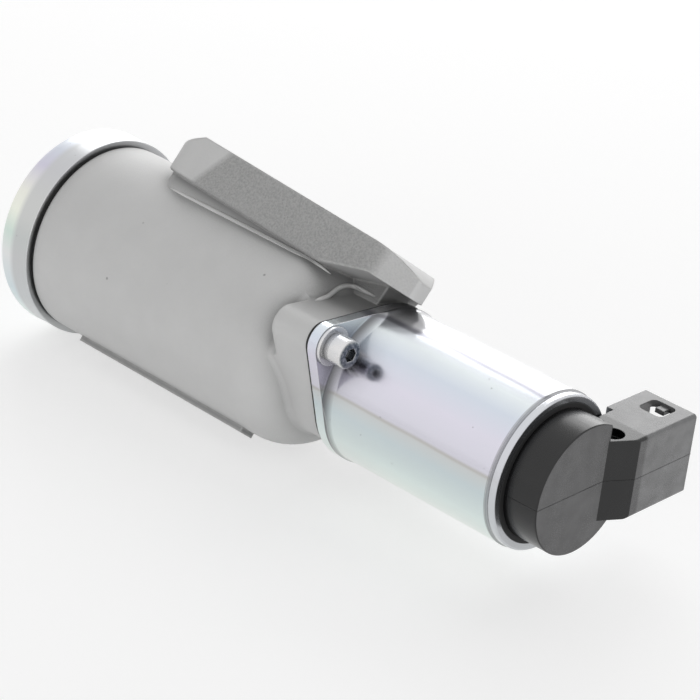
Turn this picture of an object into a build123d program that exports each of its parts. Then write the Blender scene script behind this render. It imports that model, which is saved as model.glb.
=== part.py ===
"""Idle air control valve: die-cast body, two-port mounting flange, solenoid and plug.

X runs along the valve axis towards the plug end, Y is the way the plug points, Z is up.
The origin is the centre of the mounting face. All sizes are in millimetres.
"""
from build123d import *
from math import cos, radians, sin
import os

os.makedirs("parts", exist_ok=True)

# Mounting face
face_height = 30.1  # valve axis to the centre of the mounting face
face_clock = 35.0  # turn of the face about the valve axis, from +Z towards +Y
face_tilt = 4.3  # slope of the face towards the plug end
plate_back = 41.0  # centre to the back end of the plate
plate_front = 41.0  # centre to the tip of the plate, over the solenoid flange
plate_half_width = 19.5
plate_thickness = 11.2
plate_tip_thickness = 7.2  # where the plate hangs over the solenoid flange
plate_corner_r = 8.0
plate_edge_r = 0.8  # rounding of the lower edges
near_cut = 9.8  # length of the short slant on the near side
far_cut = 22.0  # length of the long slant on the far side
tip_near = 12.0  # centre line to the near end of the narrow tip
tip_far = 7.5  # centre line to the far end of the tip, on the same side
tip_corner_r = 2.0
back_bevel_length = 9.5  # bevel between the mounting face and the back end
back_bevel_drop = 5.0
tip_fall_length = 12.0  # where the face rounds off towards the tip
tip_fall_drop = 2.8
neck_inset = 2.0  # plate edge to the neck below it
neck_corner_r = 4.0  # front corners of the neck
bolt_pcd = 57.0
bolt_angle = -14.0  # turn of the two tapped holes, towards the near side at the front
bolt_tap_r = 2.5
bolt_tap_depth = 7.5
port_spacing = 23.0
port_r = 7.5

# Cast body
body_r = 24.7
body_back = 61.5  # face centre to the back face of the body
body_front = 24.0  # face centre to the front end of the cylinder
shoulder_r = 13.0
nose_length = 8.6  # front end of the cylinder to the gasket face
nose_inset = 1.6  # edge of the solenoid flange to the round of the nose
nose_ear_depth = 11.0  # how far the ears run back from the gasket face
nose_blend_r = 2.0  # where the nose meets the rounded shoulder
nose_step = 0.6  # flange edge to the edge of the nose, at the ears
neck_front = 17.0  # face centre to the front wall of the neck
web_near = 9.0  # centre line to the near side of the web below the overhang
web_far = 1.0
spigot_step = 1.3  # surface of the body to the spigot under the end cap
spigot_length = 10.0
chamber_wall = 5.2
carrier_step = 2.5  # the narrower bore in front of the spring carrier
chamber_b_step = 2.0  # seat bore to the wall of the front chamber
seat_web = 4.0  # wall between the two chambers
web_front = 0.0  # front side of that wall
chamber_b_length = 22.0
rib_angle = -127.0
rib_width = 5.0
rib_height = 1.3
rib_back = 50.5
rib_front = 8.5

# End cap
cap_proud = 1.5  # end cap beyond the surface of the body
cap_face = 2.5
cap_edge_r = 3.6
cap_band = 4.3  # straight band next to the groove
cap_flare = 0.5  # how much the skirt opens behind that band
cap_groove = 0.9  # the dark groove between cap and body
cap_dish_r = 12.0
cap_dish_depth = 0.8
cap_dish_slope = 30.0
seal_setback = 0.4  # seal below the surface of the body

# Solenoid can and its flange
gasket_t = 1.0
gasket_inset = 0.5
flange_t = 2.6
flange_margin = 0.4  # flange beyond the wall of the can
ear_margin = 0.25  # ear beyond the washer
screw_setback = 5.9  # wall of the can to the centre of each flange screw
ear_angle = 140.9
can_r = 19.0
can_wall = 1.5
can_length = 51.0  # flange front to the front of the lip
flare_r = 2.2
seat_face_gap = 0.1  # washer to the rim of the flat pressed for it
lip_step = 0.3  # wall of the can to the outside of the lip
lip_width = 1.85
lip_t = 1.1
lip_round = 0.5
crease_width = 0.8
crease_depth = 0.6
crease_setback = 2.4  # lip front to the crease

# Flange screws
screw_r = 2.0
ear_floor = 2.4  # end of each screw to the back of its ear
head_step = 1.5  # head beyond the shank
head_h = 4.0
head_round = 0.9
washer_step = 1.2  # washer beyond the head
washer_t = 0.9
lock_t = 1.25
lock_inset = 0.1  # edge of the head to the edge of the lock washer
lock_slit = 0.7
recess_r = 1.75
recess_depth = 2.0

# Magnet circuit
core_wall = 4.8  # around the front bush
core_flange_t = 2.5
core_reach = 17.5  # core flange front to the pole face
core_spigot = 5.6  # spigot below the gasket face
bush_wall = 1.6
stem_r = 2.0
stem_bore_gap = 0.6  # stem to the bore of the core past the bush
sleeve_wall = 0.5
sleeve_lap = 6.0  # sleeve over the end of the core
bobbin_wall = 1.2
bobbin_cheek = 1.5
winding_gap = 1.2  # winding to the rim of the bobbin cheeks
yoke_t = 3.2
armature_length = 17.0
armature_chamfer = 0.6
stop_t = 0.2
travel = 3.2

# Valve and spring
disc_lap = 3.0  # disc beyond the seat edge
disc_t = 2.1
disc_round = 0.5
disc_collar = 1.5
face_t = 0.7
face_lap = 1.5  # rubber inside the seat edge
seat_r = 8.0
seat_wall = 2.0
seat_flange_lap = 2.0
seat_flange_t = 1.2
carrier_t = 1.6
carrier_station = 28.0  # web to the step that carries the spring carrier
carrier_hub_wall = 1.8
carrier_hub_length = 9.0
window_inner_gap = 1.6  # spring to the air windows
window_rim = 2.0  # air windows to the step that carries the disc
window_count = 3
window_angle = 84.0
bush_flange_lap = 1.7
bush_flange_t = 0.8
rear_bush_wall = 2.5
rear_bush_length = 8.4
spring_clearance = 0.5  # bush flange to the wire
spring_wire_r = 0.6
spring_turns = 5.0
clip_width = 2.0
clip_t = 1.0
stem_shoulder = 1.0
stem_chamfer = 0.5
stem_overrun = 1.5  # stem past the rear bush and past the armature

# Connector cap
cap_base_t = 2.9
cap_seal_width = 1.25
disc_face_reach = 9.3  # lip front to the flat round face
disc_face_edge = 0.3
seal_proud = 0.1  # cap seal past the front of the lip
plug_x_back = -1.6  # lip front to the back wall of the plug
plug_x_front = 13.05
plug_half_height = 9.95
plug_reach = 33.9  # valve axis to the mouth of the plug
plug_wall = 1.7
socket_depth = 17.0
neck_start = 6.7  # where the slanted neck leaves the round face
neck_end = 13.3
plug_edge_r = 0.9
mouth_chamfer = 0.45
latch_length = 6.6  # along the valve axis
latch_width = 6.4
latch_corner_r = 1.4
latch_setback = 5.5  # mouth of the plug to the centre of the latch window
tongue_width = 2.4
tongue_length = 2.3
tongue_drop = 0.6  # top wall to the top of the tongue
relief_r = 2.7  # round pit beside the disc, in the top of the neck
relief_setback = 1.9  # round face to the centre of the pit
relief_reach = 10.4
relief_depth = 2.0
relief_cut = 2.9  # how far the disc is cut back over the neck
relief_start = 7.2

# Terminals
blade_width = 2.8
blade_t = 0.8
blade_pitch = 6.4
leg_setback = 3.0  # bore of the bobbin to the legs that rise from the coil
blade_setback = 4.4  # mouth of the plug to the ends of the blades
slot_margin = 1.2

# Clearances
slide_gap = 0.05  # radial gap of the moving parts
press_gap = 0.03  # radial gap of the pressed and glued fits
flat_gap = 0.05  # valve face to seat when closed
loose_gap = 0.3

# Frame of the valve axis
clock = radians(face_clock)
tilt = radians(face_tilt)
axis_y = -face_height * sin(clock)
axis_z = -face_height * cos(clock)
valve_axis = Axis((0, axis_y, axis_z), (1, 0, 0))
along = Plane(origin=(0, axis_y, axis_z), x_dir=(1, 0, 0), z_dir=(0, -1, 0))
mount_plane = Plane(
    origin=(0, 0, 0),
    x_dir=(cos(tilt), -sin(tilt) * sin(clock), -sin(tilt) * cos(clock)),
    z_dir=(sin(tilt), cos(tilt) * sin(clock), cos(tilt) * cos(clock)),
)
plate_side = Plane(origin=(0, 0, 0), x_dir=mount_plane.x_dir, z_dir=-mount_plane.y_dir)
level = Plane(origin=(0, axis_y, axis_z), x_dir=(1, 0, 0), z_dir=(0, 0, 1))

# Stations along the valve axis
x_back = -body_back
x_spigot = x_back - spigot_length
x_cap_back = x_spigot - cap_face
x_nose = body_front
x_gasket = body_front + nose_length
x_flange = x_gasket + gasket_t
x_floor = x_flange + flange_t
x_head = x_floor + washer_t + lock_t
x_lip = x_floor + can_length
x_lip_in = x_lip - lip_t
x_cap_base = x_lip_in - cap_base_t
x_yoke = x_cap_base - yoke_t
x_bobbin = x_floor + core_flange_t
x_pole = x_bobbin + core_reach
x_armature = x_pole + stop_t + travel + flat_gap
x_web_back = web_front - seat_web
x_seat = x_web_back - seat_flange_t
x_face = x_seat - flat_gap - face_t
x_disc = x_face - disc_t
x_carrier = x_web_back - carrier_station
x_stem_back = x_carrier - rear_bush_length - stem_overrun
x_stem_front = x_armature + armature_length + stem_overrun
x_crease = x_lip - crease_setback
x_disc_face = x_lip + disc_face_reach
x_plug_back = x_lip + plug_x_back
x_plug_front = x_lip + plug_x_front
x_socket = (x_plug_back + x_plug_front) / 2

# Radii and places that follow from the ones above
spigot_r = body_r - spigot_step
cap_r = body_r + cap_proud
chamber_r = body_r - chamber_wall
seat_bore_r = seat_r + seat_wall
seat_flange_r = seat_bore_r + seat_flange_lap
chamber_b_r = seat_bore_r + chamber_b_step
disc_r = seat_r + disc_lap
rear_bush_r = stem_r + rear_bush_wall
bush_flange_r = rear_bush_r + bush_flange_lap
carrier_hub_r = rear_bush_r + carrier_hub_wall
spring_r = bush_flange_r + spring_clearance + spring_wire_r
window_in_r = spring_r + spring_wire_r + window_inner_gap
window_out_r = chamber_r - carrier_step - window_rim
clip_r = stem_r + clip_width
bush_r = stem_r + bush_wall
stem_bore_r = stem_r + stem_bore_gap
core_r = bush_r + core_wall
flange_r = can_r + flange_margin
nose_r = flange_r - nose_inset
lip_r = can_r - lip_step
lip_bore_r = lip_r - lip_width
disc_face_r = lip_bore_r - cap_seal_width
ear_pitch_r = can_r + screw_setback
head_r = screw_r + head_step
washer_r = head_r + washer_step
lock_r = head_r - lock_inset
ear_r = washer_r + ear_margin
screw_depth = nose_ear_depth - ear_floor
can_bore_r = can_r - can_wall
stack_r = can_bore_r - press_gap
sleeve_r = core_r + slide_gap
bobbin_bore_r = sleeve_r + sleeve_wall + press_gap
armature_r = sleeve_r - slide_gap - press_gap
blade_row = bobbin_bore_r + leg_setback
blade_reach = plug_reach - blade_setback
latch_centre = plug_reach - latch_setback
blank_r = ear_pitch_r + ear_r + loose_gap
ear_places = [
    (ear_pitch_r * cos(radians(a)), ear_pitch_r * sin(radians(a))) for a in (ear_angle, ear_angle + 180)
]


def across(x):
    """Plane square to the valve axis at station x, with local x along +Y and local y up."""
    return Plane(origin=(x, axis_y, axis_z), x_dir=(0, 1, 0), z_dir=(1, 0, 0))


def ring(x0, x1, inner, outer):
    """Half-profile of a plain ring between two stations, for a revolve about the valve axis."""
    Polyline((x0, inner), (x1, inner), (x1, outer), (x0, outer), close=True)


def save(builder, node):
    """Label a finished piece and write it."""
    builder.part.label = node
    export_step(builder.part, "parts/" + node + ".step")


# Mounting plate: thinner where it hangs over the solenoid flange
with BuildPart() as plate:
    with BuildSketch(mount_plane):
        with BuildLine():
            Polyline(
                (-plate_back, -plate_half_width),
                (plate_front - near_cut, -plate_half_width),
                (plate_front, -tip_near),
                (plate_front, -tip_far),
                (plate_front - far_cut, plate_half_width),
                (-plate_back, plate_half_width),
                close=True,
            )
        make_face()
        fillet(vertices().group_by(Axis.X)[-1], tip_corner_r)
        fillet(vertices().sort_by(Axis.X)[:4], plate_corner_r)
    extrude(amount=-plate_thickness)
    fillet(faces().sort_by(Axis((0, 0, 0), mount_plane.z_dir))[0].edges(), plate_edge_r)
    with BuildSketch(plate_side):
        with BuildLine():
            Polyline(
                (plate_front, -tip_fall_drop),
                (plate_front, -plate_tip_thickness),
                (plate_front - near_cut, -plate_tip_thickness),
                (neck_front, -plate_thickness),
                (-plate_back, -plate_thickness),
                (-plate_back, -back_bevel_drop),
                (back_bevel_length - plate_back, 0),
                (plate_front - tip_fall_length, 0),
            )
            TangentArc(
                (plate_front - tip_fall_length, 0),
                (plate_front, -tip_fall_drop),
                tangent=(1, 0),
            )
        make_face()
    extrude(amount=plate_half_width, both=True, mode=Mode.INTERSECT)

# Neck below the plate, and the web that carries the overhang
with BuildPart() as neck:
    with BuildSketch(mount_plane.offset(-plate_tip_thickness)):
        with BuildLine():
            Polyline(
                (-plate_back, neck_inset - plate_half_width),
                (neck_front, neck_inset - plate_half_width),
                (neck_front, -web_near),
                (plate_front - near_cut, -web_near),
                (plate_front - near_cut, web_far),
                (neck_front, web_far),
                (neck_front, plate_half_width - neck_inset),
                (-plate_back, plate_half_width - neck_inset),
                close=True,
            )
        make_face()
        fillet(vertices().group_by(Axis.Y)[0].sort_by(Axis.X)[-1], neck_corner_r)
        fillet(vertices().group_by(Axis.Y)[-1].sort_by(Axis.X)[-1], neck_corner_r)
        fillet(vertices().sort_by(Axis.X)[:2], plate_corner_r)
    extrude(amount=plate_tip_thickness - face_height)

# Valve housing: cylinder with a rounded shoulder, and the spigot that takes the end cap
with BuildPart() as valve_housing:
    with BuildSketch(along):
        with BuildLine():
            Polyline(
                (x_spigot, 0),
                (x_spigot, spigot_r),
                (x_back, spigot_r),
                (x_back, body_r),
                (x_nose - shoulder_r, body_r),
            )
            TangentArc((x_nose - shoulder_r, body_r), (x_nose, body_r - shoulder_r), tangent=(1, 0))
            Polyline((x_nose, body_r - shoulder_r), (x_nose, 0), (x_spigot, 0))
        make_face()
    revolve(axis=valve_axis)
    # Nose with its two ears
    with BuildSketch(across(x_gasket)):
        Circle(nose_r)
        with Locations(*ear_places):
            Circle(ear_r - nose_step)
        make_hull()
    extrude(amount=-nose_ear_depth)
    fillet(edges().filter_by(GeomType.BSPLINE), nose_blend_r)
    add(plate.part)
    add(neck.part)
    # Low rib along the underside
    with BuildSketch(across(-rib_back)):
        with PolarLocations(body_r, 1, start_angle=rib_angle):
            Rectangle(2 * rib_height, rib_width)
    extrude(amount=rib_back + rib_front)
    # Chambers, seat bore and the bore for the core spigot
    with BuildSketch(along):
        with BuildLine():
            Polyline(
                (x_spigot, 0),
                (x_spigot, chamber_r),
                (x_carrier, chamber_r),
                (x_carrier, chamber_r - carrier_step),
                (x_web_back, chamber_r - carrier_step),
                (x_web_back, seat_bore_r + press_gap),
                (web_front, seat_bore_r + press_gap),
                (web_front, chamber_b_r),
                (web_front + chamber_b_length, chamber_b_r),
                (web_front + chamber_b_length, core_r + press_gap),
                (x_gasket, core_r + press_gap),
                (x_gasket, 0),
                close=True,
            )
        make_face()
    revolve(axis=valve_axis, mode=Mode.SUBTRACT)
    # Air ports and tapped holes in the mounting face
    with BuildSketch(mount_plane):
        with GridLocations(port_spacing, 0, 2, 1):
            Circle(port_r)
    extrude(amount=chamber_b_r / 2 - face_height, mode=Mode.SUBTRACT)
    with BuildSketch(mount_plane):
        with PolarLocations(bolt_pcd / 2, 2, start_angle=bolt_angle):
            Circle(bolt_tap_r)
    extrude(amount=-bolt_tap_depth, mode=Mode.SUBTRACT)
    # Tapped holes for the flange screws
    with BuildSketch(across(x_gasket)):
        with Locations(*ear_places):
            Circle(screw_r + press_gap)
    extrude(amount=-(screw_depth + loose_gap), mode=Mode.SUBTRACT)
save(valve_housing, "valve_housing")

# Seat ring, pressed into the web between the chambers
with BuildPart() as seat_ring:
    with BuildSketch(along):
        with BuildLine():
            Polyline(
                (web_front, seat_r),
                (web_front, seat_bore_r),
                (x_web_back, seat_bore_r),
                (x_web_back, seat_flange_r),
                (x_seat, seat_flange_r),
                (x_seat, seat_r),
                close=True,
            )
        make_face()
    revolve(axis=valve_axis)
save(seat_ring, "seat_ring")

# End cap: pressed steel, over the spigot
with BuildPart() as end_cap:
    with BuildSketch(along):
        with BuildLine():
            Polyline(
                (x_cap_back, 0),
                (x_cap_back, cap_r + cap_flare),
                (x_back - cap_groove - cap_band, cap_r),
                (x_back - cap_groove, cap_r),
                (x_back - cap_groove, spigot_r + press_gap),
                (x_spigot, spigot_r + press_gap),
                (x_spigot, 0),
                close=True,
            )
        make_face()
        fillet(vertices().sort_by(Axis.X)[:2].sort_by(Axis.Y)[-1], cap_edge_r)
    revolve(axis=valve_axis)
    with BuildSketch(across(x_cap_back)):
        Circle(cap_dish_r)
    extrude(amount=cap_dish_depth, taper=cap_dish_slope, mode=Mode.SUBTRACT)
save(end_cap, "end_cap")

# Seal in the groove between cap and body
with BuildPart() as end_seal:
    with BuildSketch(along):
        with BuildLine():
            ring(x_back - cap_groove, x_back, spigot_r + press_gap, body_r - seal_setback)
        make_face()
    revolve(axis=valve_axis)
save(end_seal, "end_seal")

# Spring carrier: pressed disc with air windows and a hub for the rear bush
with BuildPart() as spring_carrier:
    with BuildSketch(along):
        with BuildLine():
            Polyline(
                (x_carrier, rear_bush_r + press_gap),
                (x_carrier, chamber_r - press_gap),
                (x_carrier - carrier_t, chamber_r - press_gap),
                (x_carrier - carrier_t, carrier_hub_r),
                (x_carrier - carrier_hub_length, carrier_hub_r),
                (x_carrier - carrier_hub_length, rear_bush_r + press_gap),
                close=True,
            )
        make_face()
    revolve(axis=valve_axis)
    with BuildSketch(across(x_carrier)):
        with PolarLocations(0, window_count):
            with BuildLine():
                inner = CenterArc((0, 0), window_in_r, -window_angle / 2, window_angle)
                outer = CenterArc((0, 0), window_out_r, -window_angle / 2, window_angle)
                Line(inner @ 0, outer @ 0)
                Line(inner @ 1, outer @ 1)
            make_face()
    extrude(amount=-carrier_t, mode=Mode.SUBTRACT)
save(spring_carrier, "spring_carrier")

# Rear bush, with the flange that stops it in the carrier
with BuildPart() as rear_bush:
    with BuildSketch(along):
        with BuildLine():
            Polyline(
                (x_carrier - rear_bush_length, stem_r + slide_gap),
                (x_carrier - rear_bush_length, rear_bush_r),
                (x_carrier, rear_bush_r),
                (x_carrier, bush_flange_r),
                (x_carrier + bush_flange_t, bush_flange_r),
                (x_carrier + bush_flange_t, stem_r + slide_gap),
                close=True,
            )
        make_face()
    revolve(axis=valve_axis)
save(rear_bush, "rear_bush")

# Return spring between the carrier and the valve disc
with BuildPart() as return_spring:
    coil_start = x_carrier + spring_wire_r + flat_gap
    coil_length = x_disc - x_carrier - 2 * (spring_wire_r + flat_gap)
    with BuildLine():
        coil = Helix(
            pitch=coil_length / spring_turns,
            height=coil_length,
            radius=spring_r,
            center=(coil_start, axis_y, axis_z),
            direction=(1, 0, 0),
        )
    with BuildSketch(Plane(origin=coil @ 0, z_dir=coil % 0)):
        RegularPolygon(spring_wire_r, 6)
    sweep(is_frenet=True)
save(return_spring, "return_spring")

# Valve disc with the collar that centres the spring
with BuildPart() as valve_disc:
    with BuildSketch(along):
        with BuildLine():
            Polyline(
                (x_disc - disc_collar, stem_r + press_gap),
                (x_disc - disc_collar, spring_r - spring_wire_r - loose_gap),
                (x_disc, spring_r - spring_wire_r - loose_gap),
                (x_disc, disc_r),
                (x_face, disc_r),
                (x_face, stem_r + press_gap),
                close=True,
            )
        make_face()
        fillet(vertices().group_by(Axis.Y)[-1], disc_round)
    revolve(axis=valve_axis)
save(valve_disc, "valve_disc")

# Rubber face that closes on the seat
with BuildPart() as disc_face:
    with BuildSketch(along):
        with BuildLine():
            ring(x_face, x_face + face_t, seat_r - face_lap, disc_r - face_t)
        make_face()
    revolve(axis=valve_axis)
save(disc_face, "disc_face")

# Valve stem, with the shoulder that the disc is held against
with BuildPart() as valve_stem:
    with BuildSketch(along):
        with BuildLine():
            Polyline(
                (x_stem_back, 0),
                (x_stem_back, stem_r),
                (x_face, stem_r),
                (x_face, stem_r + stem_shoulder),
                (x_face + seat_web, stem_r + stem_shoulder),
                (x_face + seat_web, stem_r),
                (x_stem_front, stem_r),
                (x_stem_front, 0),
                close=True,
            )
        make_face()
        chamfer(vertices().group_by(Axis.X)[0].sort_by(Axis.Y)[-1], stem_chamfer)
        chamfer(vertices().group_by(Axis.X)[-1].sort_by(Axis.Y)[-1], stem_chamfer)
    revolve(axis=valve_axis)
save(valve_stem, "valve_stem")

# Ring that holds the disc against the shoulder
with BuildPart() as disc_clip:
    with BuildSketch(along):
        with BuildLine():
            ring(x_disc - disc_collar - clip_t, x_disc - disc_collar, stem_r + press_gap, clip_r)
        make_face()
    revolve(axis=valve_axis)
save(disc_clip, "disc_clip")

# Gasket between nose and solenoid flange
with BuildPart() as flange_gasket:
    with BuildSketch(across(x_gasket)):
        Circle(flange_r - gasket_inset)
        with Locations(*ear_places):
            Circle(ear_r - gasket_inset)
        make_hull()
        Circle(core_r + loose_gap, mode=Mode.SUBTRACT)
        with Locations(*ear_places):
            Circle(screw_r + loose_gap, mode=Mode.SUBTRACT)
    extrude(amount=gasket_t)
save(flange_gasket, "flange_gasket")

# Solenoid can: two-eared flange, flare, deep-drawn wall, crease and rolled lip
with BuildPart() as solenoid_can:
    with BuildSketch(along):
        with BuildLine():
            Polyline(
                (x_floor + flare_r, can_r),
                (x_floor + flare_r, 0),
                (x_flange, 0),
                (x_flange, blank_r),
                (x_floor, blank_r),
                (x_floor, can_r + flare_r),
            )
            RadiusArc((x_floor, can_r + flare_r), (x_floor + flare_r, can_r), -flare_r)
        make_face()
    revolve(axis=valve_axis)
    with BuildSketch(across(x_flange)):
        Circle(flange_r)
        with Locations(*ear_places):
            Circle(ear_r)
        make_hull()
    extrude(amount=flange_t + flare_r, mode=Mode.INTERSECT)
    with BuildSketch(along):
        with BuildLine():
            Polyline(
                (x_floor, 0),
                (x_floor, can_r),
                (x_crease, can_r),
                (x_crease + crease_width / 2, can_r - crease_depth),
                (x_crease + crease_width, lip_r),
                (x_lip, lip_r),
                (x_lip, 0),
                close=True,
            )
        make_face()
        fillet(vertices().group_by(Axis.X)[-1].sort_by(Axis.Y)[-1], lip_round)
    revolve(axis=valve_axis)
    with BuildSketch(along):
        with BuildLine():
            Polyline(
                (x_flange, 0),
                (x_flange, core_r + press_gap),
                (x_floor, core_r + press_gap),
                (x_floor, can_bore_r),
                (x_lip_in, can_bore_r),
                (x_lip_in, lip_bore_r),
                (x_lip, lip_bore_r),
                (x_lip, 0),
                close=True,
            )
        make_face()
    revolve(axis=valve_axis, mode=Mode.SUBTRACT)
    with BuildSketch(across(x_flange)):
        with Locations(*ear_places):
            Circle(screw_r + loose_gap)
    extrude(amount=flange_t, mode=Mode.SUBTRACT)
    # Flats pressed for the washers
    with BuildSketch(across(x_floor)):
        with Locations(*ear_places):
            Circle(washer_r + seat_face_gap)
    extrude(amount=flare_r, mode=Mode.SUBTRACT)
save(solenoid_can, "solenoid_can")

# Flange screws and their washers
for node, place in zip(("upper", "lower"), ear_places):
    with BuildPart() as washer:
        with BuildSketch(across(x_floor)):
            with Locations(place):
                Circle(washer_r)
                Circle(screw_r + loose_gap, mode=Mode.SUBTRACT)
        extrude(amount=washer_t)
    save(washer, "washer_" + node)
    with BuildPart() as lock_washer:
        with BuildSketch(across(x_floor + washer_t)):
            with Locations(place):
                Circle(lock_r)
                Circle(screw_r + loose_gap, mode=Mode.SUBTRACT)
                with Locations((0, -lock_r / 2)):
                    Rectangle(lock_slit, lock_r, mode=Mode.SUBTRACT)
        extrude(amount=lock_t)
    save(lock_washer, "lock_washer_" + node)
    with BuildPart() as screw:
        with BuildSketch(across(x_gasket - screw_depth)):
            with Locations(place):
                Circle(screw_r)
        extrude(amount=x_head - x_gasket + screw_depth)
        with BuildSketch(across(x_head)):
            with Locations(place):
                Circle(head_r)
        extrude(amount=head_h)
        fillet(faces().sort_by(Axis.X)[-1].edges(), head_round)
        with BuildSketch(across(x_head + head_h)):
            with Locations(place):
                RegularPolygon(recess_r, 6)
        extrude(amount=-recess_depth, mode=Mode.SUBTRACT)
    save(screw, "screw_" + node)

# Pole core: spigot, flange and post, bored for the stem and its bush
with BuildPart() as pole_core:
    with BuildSketch(along):
        with BuildLine():
            Polyline(
                (x_gasket - core_spigot, bush_r + press_gap),
                (x_gasket - core_spigot, core_r),
                (x_floor, core_r),
                (x_floor, stack_r),
                (x_bobbin, stack_r),
                (x_bobbin, core_r),
                (x_pole, core_r),
                (x_pole, stem_bore_r),
                (x_floor, stem_bore_r),
                (x_floor, bush_r + press_gap),
                close=True,
            )
        make_face()
    revolve(axis=valve_axis)
save(pole_core, "pole_core")

with BuildPart() as front_bush:
    with BuildSketch(along):
        with BuildLine():
            ring(x_gasket - core_spigot, x_floor, stem_r + slide_gap, bush_r)
        make_face()
    revolve(axis=valve_axis)
save(front_bush, "front_bush")

# Washer that keeps the armature off the pole
with BuildPart() as stop_washer:
    with BuildSketch(along):
        with BuildLine():
            ring(x_pole, x_pole + stop_t, stem_bore_r, core_r - loose_gap)
        make_face()
    revolve(axis=valve_axis)
save(stop_washer, "stop_washer")

# Guide sleeve for the armature, lapped over the core
with BuildPart() as guide_sleeve:
    with BuildSketch(along):
        with BuildLine():
            ring(x_pole - sleeve_lap, x_cap_base, sleeve_r, sleeve_r + sleeve_wall)
        make_face()
    revolve(axis=valve_axis)
save(guide_sleeve, "guide_sleeve")

with BuildPart() as armature:
    with BuildSketch(along):
        with BuildLine():
            ring(x_armature, x_armature + armature_length, stem_r + press_gap, armature_r)
        make_face()
        chamfer(vertices().group_by(Axis.Y)[-1], armature_chamfer)
    revolve(axis=valve_axis)
save(armature, "armature")

# Coil bobbin and its winding
with BuildPart() as coil_bobbin:
    with BuildSketch(along):
        with BuildLine():
            Polyline(
                (x_bobbin, bobbin_bore_r),
                (x_bobbin, stack_r),
                (x_bobbin + bobbin_cheek, stack_r),
                (x_bobbin + bobbin_cheek, bobbin_bore_r + bobbin_wall),
                (x_yoke - bobbin_cheek, bobbin_bore_r + bobbin_wall),
                (x_yoke - bobbin_cheek, stack_r),
                (x_yoke, stack_r),
                (x_yoke, bobbin_bore_r),
                close=True,
            )
        make_face()
    revolve(axis=valve_axis)
save(coil_bobbin, "coil_bobbin")

with BuildPart() as coil_winding:
    with BuildSketch(along):
        with BuildLine():
            ring(
                x_bobbin + bobbin_cheek,
                x_yoke - bobbin_cheek,
                bobbin_bore_r + bobbin_wall,
                stack_r - winding_gap,
            )
        make_face()
    revolve(axis=valve_axis)
save(coil_winding, "coil_winding")

# Yoke plate, slotted for the terminals
with BuildPart() as yoke_plate:
    with BuildSketch(along):
        with BuildLine():
            ring(x_yoke, x_cap_base, sleeve_r + sleeve_wall + press_gap, stack_r)
        make_face()
    revolve(axis=valve_axis)
    with BuildSketch(across(x_yoke)):
        with Locations((blade_row, 0)):
            Rectangle(blade_width + slot_margin, blade_pitch + blade_t + slot_margin)
    extrude(amount=yoke_t, mode=Mode.SUBTRACT)
save(yoke_plate, "yoke_plate")

# Seal between lip and connector cap
with BuildPart() as cap_seal:
    with BuildSketch(along):
        with BuildLine():
            ring(x_lip_in, x_lip + seal_proud, disc_face_r + press_gap, lip_bore_r - press_gap)
        make_face()
    revolve(axis=valve_axis)
save(cap_seal, "cap_seal")

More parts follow.
